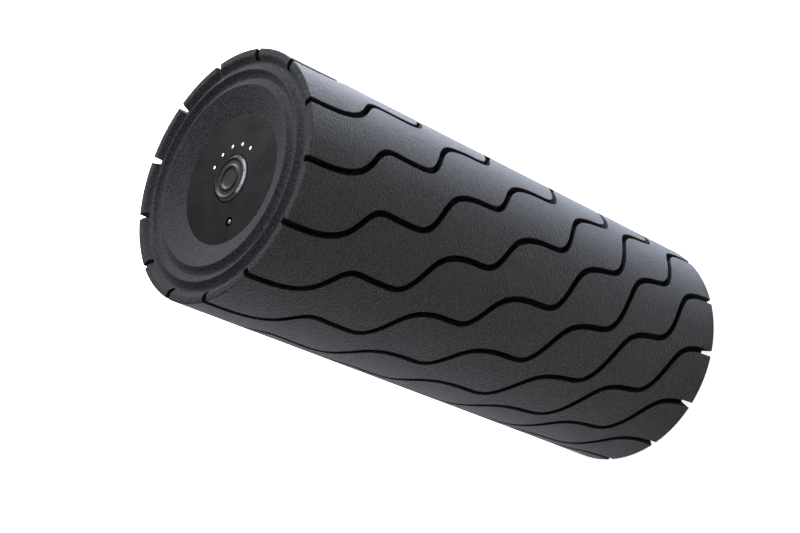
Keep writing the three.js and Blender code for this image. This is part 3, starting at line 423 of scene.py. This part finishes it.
def grid_faces(rows, columns, close_rows=False, column_shift=0):
    """Quads over a grid whose columns close on themselves; its rows can too, with a shift of columns."""
    faces = []
    for row in range(rows if close_rows else rows - 1):
        after = (row + 1) % rows
        shift = column_shift if after == 0 else 0
        for column in range(columns):
            beside = (column + 1) % columns
            faces.append((
                row * columns + column,
                after * columns + (column + shift) % columns,
                after * columns + (beside + shift) % columns,
                row * columns + beside,
            ))
    return faces


def turned_points(outline, segments, centre=(0.0, 0.0)):
    """The grid of points that an outline of (radius, z) makes round the Z axis."""
    angles = np.linspace(0, 2 * math.pi, segments, endpoint=False)
    return [
        (centre[0] + r * math.cos(a), centre[1] + r * math.sin(a), z)
        for r, z in outline
        for a in angles
    ]


def arc(centre_r, centre_z, radius, start_deg, end_deg, steps):
    """Outline points on a small rounding."""
    return [
        (
            centre_r + radius * math.cos(math.radians(start_deg + (end_deg - start_deg) * i / steps)),
            centre_z + radius * math.sin(math.radians(start_deg + (end_deg - start_deg) * i / steps)),
        )
        for i in range(steps + 1)
    ]


def turned_piece(name, outline, segments, material, body, replaced, centre=(0.0, 0.0)):
    """A turned piece whose outline starts and ends on its axis."""
    first_tip, *ring, last_tip = outline
    points = turned_points(ring, segments, centre)
    faces = grid_faces(len(ring), segments)
    for tip, row in ((first_tip, 0), (last_tip, len(ring) - 1)):
        points.append((*centre, tip[1]))
        apex = len(points) - 1
        for column in range(segments):
            edge = (row * segments + column, row * segments + (column + 1) % segments)
            faces.append((apex, *edge) if row == 0 else (apex, *reversed(edge)))
    return new_piece(name, points, faces, material, body, replaced)


def rod_shape(radius, low, high, segments, centre=(0.0, 0.0)):
    """Points and faces of a plain rod along Z."""
    points = turned_points([(radius, low), (radius, high)], segments, centre)
    sides = [tuple(reversed(face)) for face in grid_faces(2, segments)]
    ends = [tuple(reversed(range(segments))), tuple(range(segments, 2 * segments))]
    return points, sides + ends


def apply_modifiers(piece):
    """Bakes a piece's modifiers into its mesh and smooths it again."""
    bpy.context.view_layer.update()
    evaluated = piece.evaluated_get(bpy.context.evaluated_depsgraph_get())
    mesh = bpy.data.meshes.new_from_object(evaluated)
    piece.modifiers.clear()
    piece.data = mesh
    mesh.shade_smooth()
    add_weighted_normals(piece)


def add_boolean(piece, operation, other):
    """Cuts another object out of a piece, or joins it on."""
    boolean = piece.modifiers.new(operation.lower(), "BOOLEAN")
    boolean.operation = operation
    boolean.solver = "EXACT"
    boolean.object = other


def cut_and_round(piece, cutters, width):
    """Cuts holes, then rounds every sharp edge, and applies both."""
    for cutter in cutters:
        add_boolean(piece, "DIFFERENCE", cutter)
    bevel = piece.modifiers.new("round", "BEVEL")
    bevel.width = width
    bevel.segments = 3
    bevel.limit_method = "ANGLE"
    bevel.angle_limit = BEVEL_ANGLE
    apply_modifiers(piece)
    for cutter in cutters:
        bpy.data.objects.remove(cutter)


def polar(degrees, radius):
    """X and Y of a point at an angle round the Z axis."""
    angle = math.radians(degrees)
    return radius * math.cos(angle), radius * math.sin(angle)


def at_plain_end(points):
    """The same points at the other end: turned half round about an X axis through the roller's middle."""
    return [(x, -y, LENGTH - z) for x, y, z in points]


# ---------- Foam ----------

def groove_turn(depth_mm):
    """How far the grooves have turned, in degrees, at a depth below the control end."""
    turn = STEADY_TURN * depth_mm
    for centre, bend, lean in BENDS:
        along = (depth_mm - centre) / BEND_LENGTH_MM
        nearness = np.exp(-((along / BEND_REACH) ** 2))
        turn = turn + bend * ((1 + np.tanh(along)) / 2 + (BEND_EASE * along + lean) * nearness)
    return turn


def slant_factor(depth_mm):
    """A groove that runs aslant is wider along the circumference."""
    per_mm = groove_turn(depth_mm + 0.5) - groove_turn(depth_mm - 0.5)
    return math.hypot(1, RADIUS / MM * math.radians(per_mm))


def tread_depths():
    """Depths of the tread's rows in mm, evenly spaced along a groove."""
    fine = np.linspace(TREAD_MARGIN_MM, LENGTH / MM - TREAD_MARGIN_MM, TREAD_SAMPLES)
    across = RADIUS / MM * np.radians(groove_turn(fine))
    along = np.concatenate([[0], np.cumsum(np.hypot(np.diff(fine), np.diff(across)))])
    count = int(along[-1] / TREAD_STEP_MM)
    return np.interp(np.linspace(0, along[-1], count), along, fine)


def crest_fall(away, reach, fall):
    """How far a crest has fallen at a distance from its top: steep beside the top, level in the valley."""
    softened = math.hypot(away, CREST_SOFTNESS) - CREST_SOFTNESS
    return fall * math.sin(math.pi / 2 * min(softened / (reach - CREST_SOFTNESS), 1.0))


def face_depth(r):
    """Depth of the sleeve's end face at a radius: crest, valley and flat rim with rounded edges."""
    if r <= OUTER_CREST_RADIUS:
        return crest_fall(OUTER_CREST_RADIUS - r, OUTER_CREST_RADIUS - SEAM_RADIUS, VALLEY_DEPTH)
    if r <= VALLEY_RADIUS:
        return crest_fall(r - OUTER_CREST_RADIUS, VALLEY_RADIUS - OUTER_CREST_RADIUS, VALLEY_DEPTH)
    if r <= RIM_INNER_RADIUS:
        u = (r - VALLEY_RADIUS) / (RIM_INNER_RADIUS - VALLEY_RADIUS)
        return VALLEY_DEPTH * (1 + math.cos(math.pi * u)) / 2
    edge = RADIUS - EDGE_ROUND
    if r <= edge:
        return 0.0
    return EDGE_ROUND - math.sqrt(max(EDGE_ROUND**2 - (r - edge) ** 2, 0.0))


def groove_half_section():
    """Half of a groove's section, from its middle onto the tread: distance from the middle, and radius."""
    edge, floor = GROOVE_HALF_WIDTH, GROOVE_FLOOR_RADIUS
    return [
        (0.0, floor),
        (0.75 * MM, floor + 0.05 * MM),
        (1.12 * MM, floor + 0.4 * MM),
        (1.35 * MM, floor + 1.5 * MM),
        (edge - 0.08 * MM, RADIUS - 1.3 * MM),
        (edge - 0.01 * MM, RADIUS - 0.3 * MM),
        (edge + 0.03 * MM, RADIUS - 0.1 * MM),
        (edge + 0.12 * MM, RADIUS - 0.02 * MM),
        (edge + 0.35 * MM, RADIUS),
    ]


def sleeve_columns(depth_mm):
    """The columns of points round the sleeve at a depth: each one's place in degrees, and its radius."""
    half = groove_half_section()
    section = [(-s, r) for s, r in reversed(half[1:])] + half
    pitch = 360 / GROOVE_COUNT
    slant = slant_factor(depth_mm)
    reach = math.degrees(half[-1][0] * slant / RADIUS)
    tread_step = (pitch - 2 * reach) / (TREAD_COLUMNS + 1)
    columns = []
    for groove in range(GROOVE_COUNT):
        middle = GROOVE_START_DEG + groove * pitch + float(groove_turn(depth_mm))
        columns += [(middle + math.degrees(s * slant / RADIUS), r) for s, r in section]
        columns += [(middle + reach + tread_step * (i + 1), RADIUS) for i in range(TREAD_COLUMNS)]
    return columns


def tread_row(depth_mm):
    """Points round the tread and its grooves, all at one depth."""
    return [(*polar(degrees, r), LENGTH - depth_mm * MM) for degrees, r in sleeve_columns(depth_mm)]


def face_row(radius, radii, at_control_end):
    """Points round an end face; those that would float over a groove step down its wall instead."""
    row = []
    for degrees, own in sleeve_columns(0.0 if at_control_end else LENGTH / MM):
        r = min(radius, own)
        passed = sum(1 for x in radii if own < x <= radius)
        depth = face_depth(r) + WALL_STEP * passed
        row.append((*polar(degrees, r), LENGTH - depth if at_control_end else depth))
    return row


def end_face_radii():
    """Radii of the rows on the sleeve's end face, from the bore out to the tread."""
    before = [OUTER_CREST_RADIUS - away for away in reversed(CREST_ROW_DISTANCES)]
    after = [OUTER_CREST_RADIUS + away for away in (*CREST_ROW_DISTANCES, LAST_CREST_ROW)]
    crest = [SEAM_RADIUS, *before, OUTER_CREST_RADIUS, *after, VALLEY_RADIUS]
    slope = np.linspace(VALLEY_RADIUS, RIM_INNER_RADIUS, RIM_ROWS + 1)[1:]
    rim = [RIM_INNER_RADIUS + 0.25 * MM, (RIM_INNER_RADIUS + RADIUS) / 2, RADIUS - EDGE_ROUND]
    edge = [RADIUS - EDGE_ROUND * (1 - math.sin(a)) for a in np.radians([25, 50, 70, 90])]
    return [*crest, *slope, *rim, *edge]


def add_sleeve(material, groove_painted_shade_material, end_material):
    """The rows run out over the control end's face, down the tread, and in over the plain end's face."""
    radii = end_face_radii()
    rows = [face_row(r, radii, True) for r in radii]
    rows += [tread_row(depth) for depth in tread_depths()]
    rows += [face_row(r, radii, False) for r in reversed(radii)]
    columns = len(rows[0])
    sector = columns // GROOVE_COUNT
    turned_by = round(float(groove_turn(LENGTH / MM)) / 360 * GROOVE_COUNT) * sector
    faces = grid_faces(len(rows), columns, close_rows=True, column_shift=turned_by)
    points = [point for row in rows for point in row]
    piece = new_piece("sleeve", points, faces, material, "roller", ["foam_sleeve"])
    piece.data.materials.append(groove_painted_shade_material)
    piece.data.materials.append(end_material)
    first_inside = GROOVE_LIP_COLUMNS - 1
    inside = 2 * (len(groove_half_section()) - GROOVE_LIP_COLUMNS)
    for face in piece.data.polygons:
        row, column = face.index // columns, (face.index % columns) % sector
        from_end = min(row, len(rows) - 2 - row)
        on_end = 0 <= from_end < len(radii) - 1
        in_groove = first_inside <= column < first_inside + inside
        # Faces on a groove's walls and floor take the darker foam copy: painted shade in the grooves.
        if in_groove and not (on_end and radii[from_end + 1] <= GROOVE_FLOOR_RADIUS):
            face.material_index = 1
        elif on_end:
            face.material_index = 2


def ring_outline():
    """Section of an end ring at the control end: its crest, and its cone down to the disc."""
    outer, inner = SEAM_RADIUS - RING_SEAM_GAP, DISC_RADIUS + RING_DISC_GAP
    top = LENGTH - INNER_CREST_DEPTH
    cone_angle = math.degrees(math.atan2(CONE_DEPTH - INNER_CREST_DEPTH, INNER_CREST_RADIUS - inner))
    crest = arc(INNER_CREST_RADIUS, top - INNER_CREST_ROUND, INNER_CREST_ROUND, 90 + cone_angle, 60, 6)
    lip_height = LENGTH - CONE_DEPTH - RING_LIP_ROUND
    lip = arc(inner + RING_LIP_ROUND, lip_height, RING_LIP_ROUND, 180, 90 + cone_angle, 4)
    reach = outer - INNER_CREST_RADIUS
    fall = VALLEY_DEPTH - INNER_CREST_DEPTH
    flank = [
        (INNER_CREST_RADIUS + away, top - crest_fall(away, reach, fall))
        for away in INNER_CREST_ROW_DISTANCES
    ]
    (low_r, low_z), (high_r, high_z) = lip[-1], crest[0]
    cone = [
        (low_r + (high_r - low_r) * share, low_z + (high_z - low_z) * share)
        for share in (0.05, 0.25, 0.5, 0.75, 0.95)
    ]
    return [(inner, RING_LOW.z), *lip, *cone, *crest, *flank, (outer, RING_LOW.z)]


def add_rings(material):
    outline = ring_outline()
    points = turned_points(outline, RING_SEGMENTS)
    faces = [tuple(reversed(face)) for face in grid_faces(len(outline), RING_SEGMENTS, close_rows=True)]
    for name, node, place in (
        ("end_ring_control", "foam_ring_control_end", points),
        ("end_ring_plain", "foam_ring_plain_end", at_plain_end(points)),
    ):
        new_piece(name, place, faces, material, "roller", [node])


# ---------- Hard pieces at the ends ----------

def disc_cutter(radius, segments, x=0.0, y=0.0):
    """A temporary rod through the control disc, to cut a hole with."""
    low, high = DISC_LOW.z - CUTTER_MARGIN, DISC_HIGH.z + CUTTER_MARGIN
    return new_object("cutter", *rod_shape(radius, low, high, segments, (x, y)))


def add_control_disc(material):
    points, faces = rod_shape(DISC_RADIUS, DISC_LOW.z, DISC_HIGH.z, DISC_SEGMENTS)
    disc = new_piece("control_face", points, faces, material, "roller", ["control_disc"])
    cutters = [
        disc_cutter(BUTTON_HOLE_RADIUS, BUTTON_HOLE_SEGMENTS),
        disc_cutter(JACK_BORE_RADIUS, JACK_SEGMENTS, 0.0, JACK_CENTRE.y),
    ]
    for degrees in LED_ANGLES_DEG:
        x, y = polar(degrees, LED_CIRCLE_RADIUS)
        cutters.append(disc_cutter(LIGHT_HOLE_RADIUS, LIGHT_PIN_SEGMENTS, x, y))
    cut_and_round(disc, cutters, HOLE_EDGE_ROUND)


def add_plain_disc(material):
    points, faces = rod_shape(DISC_RADIUS, DISC_LOW.z, DISC_HIGH.z, DISC_SEGMENTS)
    points = at_plain_end(points)
    disc = new_piece("plain_face", points, faces, material, "roller", ["plain_disc"])
    cut_and_round(disc, [], PLAIN_EDGE_ROUND)


def add_button(material, edge_material):
    """The push button: dish, raised rings, polished edge, and the flange and post below."""
    top = BUTTON_HIGH.z
    flange_r = BUTTON_HIGH.x
    flange_top = DISC_LOW.z - BUTTON_FLANGE_GAP
    flange_low = flange_top - BUTTON_FLANGE_HEIGHT
    outline = [
        *[(r * MM, top - fall * MM) for r, fall in BUTTON_FACE_MM],
        (BUTTON_RADIUS, flange_top),
        (flange_r, flange_top),
        (flange_r, flange_low),
        (BUTTON_POST_RADIUS, flange_low),
        (BUTTON_POST_RADIUS, BUTTON_LOW.z),
        (0, BUTTON_LOW.z),
    ]
    cap = turned_piece(
        "button_cap", outline, BUTTON_SEGMENTS, material, "button", ["power_button"]
    )
    cap.data.materials.append(edge_material)
    for face in cap.data.polygons:
        out = math.hypot(face.center.x, face.center.y)
        if face.center.z > flange_top and POLISHED_INNER_RADIUS < out < POLISHED_OUTER_RADIUS:
            face.material_index = 1


def light_bar():
    """The arched bar that joins the light pins, as a temporary object."""
    inner, outer = LED_CIRCLE_RADIUS - LIGHT_BAR_HALF_WIDTH, LED_CIRCLE_RADIUS + LIGHT_BAR_HALF_WIDTH
    low = GUIDE_LOW.z + LIGHT_BAR_LIFT
    high = low + LIGHT_BAR_HEIGHT
    section = [(inner, low), (outer, low), (outer, high), (inner, high)]
    start, end = LED_ANGLES_DEG[0] - LIGHT_BAR_OVERHANG_DEG, LED_ANGLES_DEG[-1] + LIGHT_BAR_OVERHANG_DEG
    angles = np.linspace(start, end, LIGHT_BAR_STEPS + 1)
    points = [(*polar(degrees, r), z) for degrees in angles for r, z in section]
    faces = [
        (4 * step + side, 4 * step + 4 + side, 4 * step + 4 + (side + 1) % 4, 4 * step + (side + 1) % 4)
        for step in range(LIGHT_BAR_STEPS)
        for side in range(4)
    ]
    last = 4 * LIGHT_BAR_STEPS
    return new_object("bar", points, faces + [(0, 1, 2, 3), (last + 3, last + 2, last + 1, last)])


def add_light_guide(material):
    """Five domed pins on one bar."""
    segments = LIGHT_PIN_SEGMENTS
    low, high = GUIDE_LOW.z, GUIDE_HIGH.z
    dome = [math.radians(degrees) for degrees in range(0, 90, 18)]
    outline = [(LIGHT_PIN_RADIUS, low)]
    outline += [
        (LIGHT_PIN_RADIUS * math.cos(a), high - LIGHT_PIN_DOME + LIGHT_PIN_DOME * math.sin(a))
        for a in dome
    ]
    points, faces = [], []
    for degrees in LED_ANGLES_DEG:
        centre = polar(degrees, LED_CIRCLE_RADIUS)
        start = len(points)
        points += [*turned_points(outline, segments, centre), (*centre, high)]
        apex = len(points) - 1
        last = apex - segments
        faces += [tuple(start + i for i in reversed(face)) for face in grid_faces(len(outline), segments)]
        faces.append(tuple(start + i for i in reversed(range(segments))))
        faces += [(last + i, last + (i + 1) % segments, apex) for i in range(segments)]
    guide = new_piece("light_pins", points, faces, material, "roller", ["light_guide"])
    bar = light_bar()
    add_boolean(guide, "UNION", bar)
    apply_modifiers(guide)
    guide.data.set_sharp_from_angle(angle=SHARP_ANGLE)
    bpy.data.objects.remove(bar)


def add_jack_body(material):
    bore, outer = JACK_BORE_RADIUS, (JACK_HIGH.x - JACK_LOW.x) / 2
    low, high = JACK_LOW.z, JACK_HIGH.z
    floor = low + JACK_FLOOR_THICKNESS
    outline = [
        (0, floor),
        (bore - JACK_ROUND, floor),
        (bore, floor + JACK_ROUND),
        (bore, high - JACK_MOUTH_ROUND),
        (bore + JACK_MOUTH_ROUND, high),
        (outer - JACK_ROUND, high),
        (outer, high - JACK_ROUND),
        (outer, low),
        (0, low),
    ]
    turned_piece(
        "charge_socket", outline, JACK_SEGMENTS, material, "roller", ["jack_body"],
        (0.0, JACK_CENTRE.y),
    )


def add_jack_pin(material):
    """The socket's centre pin, with a shallow dome."""
    tip = DISC_HIGH.z - JACK_PIN_SUNK
    dome_height = JACK_PIN_RADIUS * JACK_PIN_DOME_SHARE
    dome = [math.radians(degrees) for degrees in (20, 40, 60, 75, 90)]
    outline = [
        (0, tip),
        *[(JACK_PIN_RADIUS * math.sin(a), tip - dome_height * (1 - math.cos(a))) for a in dome],
        (JACK_PIN_RADIUS, JACK_PIN_LOW.z),
        (0, JACK_PIN_LOW.z),
    ]
    turned_piece(
        "charge_pin", outline, JACK_PIN_SEGMENTS, material, "roller", ["jack_pin"],
        (0.0, JACK_CENTRE.y),
    )


# ---------- Carried-over CAD nodes ----------

def finish_cad_nodes(by_slot):
    """Every CAD node takes the material of its slot in the record."""
    for row in frame["record"]["subparts"]:
        node = frame["nodes"][row["node"]]
        node.data.materials.clear()
        node.data.materials.append(by_slot[row["material_slot"]])


def record_colour(slot):
    """The base colour that the record gives to a material slot."""
    for row in frame["record"]["materials"]:
        if row["slot"] == slot:
            return tuple(row["base_color"][:3])
    raise ValueError(slot)


# ---------- Stage ----------

def add_floor():
    size = FLOOR_HALF_SIZE
    points = [(-size, -size, 0), (size, -size, 0), (size, size, 0), (-size, size, 0)]
    floor = new_object("floor", points, [(0, 1, 2, 3)])
    floor.data.materials.append(paper_material("floor_paper"))


def add_area_light(name, place, aim, length, width, power, colour, along):
    """A softbox whose length lies as near to a given direction as its aim allows."""
    data = bpy.data.lights.new(name, "AREA")
    data.shape = "RECTANGLE"
    data.size, data.size_y = length, width
    data.energy = power
    data.color = colour
    light = bpy.data.objects.new(name, data)
    bpy.context.scene.collection.objects.link(light)
    light.visible_camera = False
    back = (Vector(place) - Vector(aim)).normalized()
    across = Vector(along) - back * back.dot(Vector(along))
    across.normalize()
    turn = Matrix((across, back.cross(across), back)).transposed().to_4x4()
    turn.translation = place
    light.matrix_world = turn


def add_world():
    world = bpy.data.worlds.new("studio")
    bpy.context.scene.world = world
    world.use_nodes = True
    background = world.node_tree.nodes["Background"]
    background.inputs["Color"].default_value = (1.0, 1.0, 1.0, 1.0)
    background.inputs["Strength"].default_value = WORLD_STRENGTH


# ---------- The scene ----------

NEUTRAL = (1.0, 1.0, 1.0)
COOL_TINT = (0.97, 0.99, 1.05)
BLUISH_TINT = (0.97, 0.99, 1.06)

looks = {
    "sleeve_foam": foam_material(
        "sleeve_foam_look", dark=0.0, light=0.041, tint=(1.0, 1.01, 0.97),
        grain_depth=0.42 * MM, sheen=0.32, grain_scale=0.72,
    ),
    "ring_foam": foam_material(
        "ring_foam_look", dark=0.003, light=0.09, tint=COOL_TINT,
        grain_depth=0.22 * MM, sheen=0.05, grain_scale=0.8,
    ),
    "disc_plastic": smooth_plastic_material(
        "disc_plastic_look", 0.010, COOL_TINT, roughness=0.27, ior=1.36
    ),
    "button_plastic": smooth_plastic_material(
        "button_plastic_look", 0.010, BLUISH_TINT, roughness=0.44, ior=1.38
    ),
    "black_plastic": smooth_plastic_material("black_plastic_look", 0.010, NEUTRAL, roughness=0.4),
    "core_plastic": smooth_plastic_material(
        "core_plastic_look", 0.07, (0.98, 1.0, 1.05), roughness=0.5, texture_depth=0.02 * MM
    ),
    "cap_plastic": smooth_plastic_material(
        "cap_plastic_look", 0.02, (1.0, 1.0, 1.05), roughness=0.5, texture_depth=0.02 * MM
    ),
    "ferrite": smooth_plastic_material(
        "ferrite_look", 0.04, NEUTRAL, roughness=0.6, texture_depth=0.03 * MM
    ),
    "cell_wrap": smooth_plastic_material("cell_wrap_look", 0.2, (0.15, 0.75, 1.9), roughness=0.3),
    "led_package": smooth_plastic_material("led_package_look", 0.8, (1.0, 1.0, 0.92), roughness=0.35),
    "bright_steel": metal_material("bright_steel_look", (0.4, 0.4, 0.41), 0.45),
    "screw_steel": metal_material("screw_steel_look", record_colour("screw_steel"), 0.32),
    "bearing_steel": metal_material("bearing_steel_look", record_colour("bearing_steel"), 0.2),
    "zinc_steel": metal_material("zinc_steel_look", record_colour("zinc_steel"), 0.35, "z"),
    "lamination_steel": metal_material(
        "lamination_steel_look", record_colour("lamination_steel"), 0.45, "x"
    ),
    "commutator_brass": metal_material(
        "commutator_brass_look", record_colour("commutator_brass"), 0.3, "z"
    ),
    "clear_plastic": light_material("clear_plastic_look", 1.6),
    "board_laminate": board_material("board_laminate_look"),
    "lead_red": rubber_material("lead_red_look", record_colour("lead_red")),
    "lead_black": rubber_material("lead_black_look", record_colour("lead_black")),
}
# A darker, unshiny copy of the sleeve foam for the grooves' walls and floors: painted shade, standing in
# for the dark inside the deep grooves.
groove_painted_shade_foam = foam_material(
    "groove_painted_shade_look", dark=0.002, light=0.015, tint=NEUTRAL,
    grain_depth=0.2 * MM, sheen=0.0, specular=0.03,
)
polished_edge = smooth_plastic_material("polished_edge_look", 0.012, BLUISH_TINT, roughness=0.18, ior=2.4)

finish_cad_nodes(looks)
add_sleeve(looks["sleeve_foam"], groove_painted_shade_foam, looks["ring_foam"])
add_rings(looks["ring_foam"])
add_control_disc(looks["disc_plastic"])
add_plain_disc(looks["disc_plastic"])
add_button(looks["button_plastic"], polished_edge)
add_light_guide(looks["clear_plastic"])
add_jack_body(looks["black_plastic"])
add_jack_pin(looks["bright_steel"])
add_camera()
add_floor()
add_world()
for light in AREA_LIGHTS:
    add_area_light(*light)
bpy.context.scene.view_settings.view_transform = "Standard"
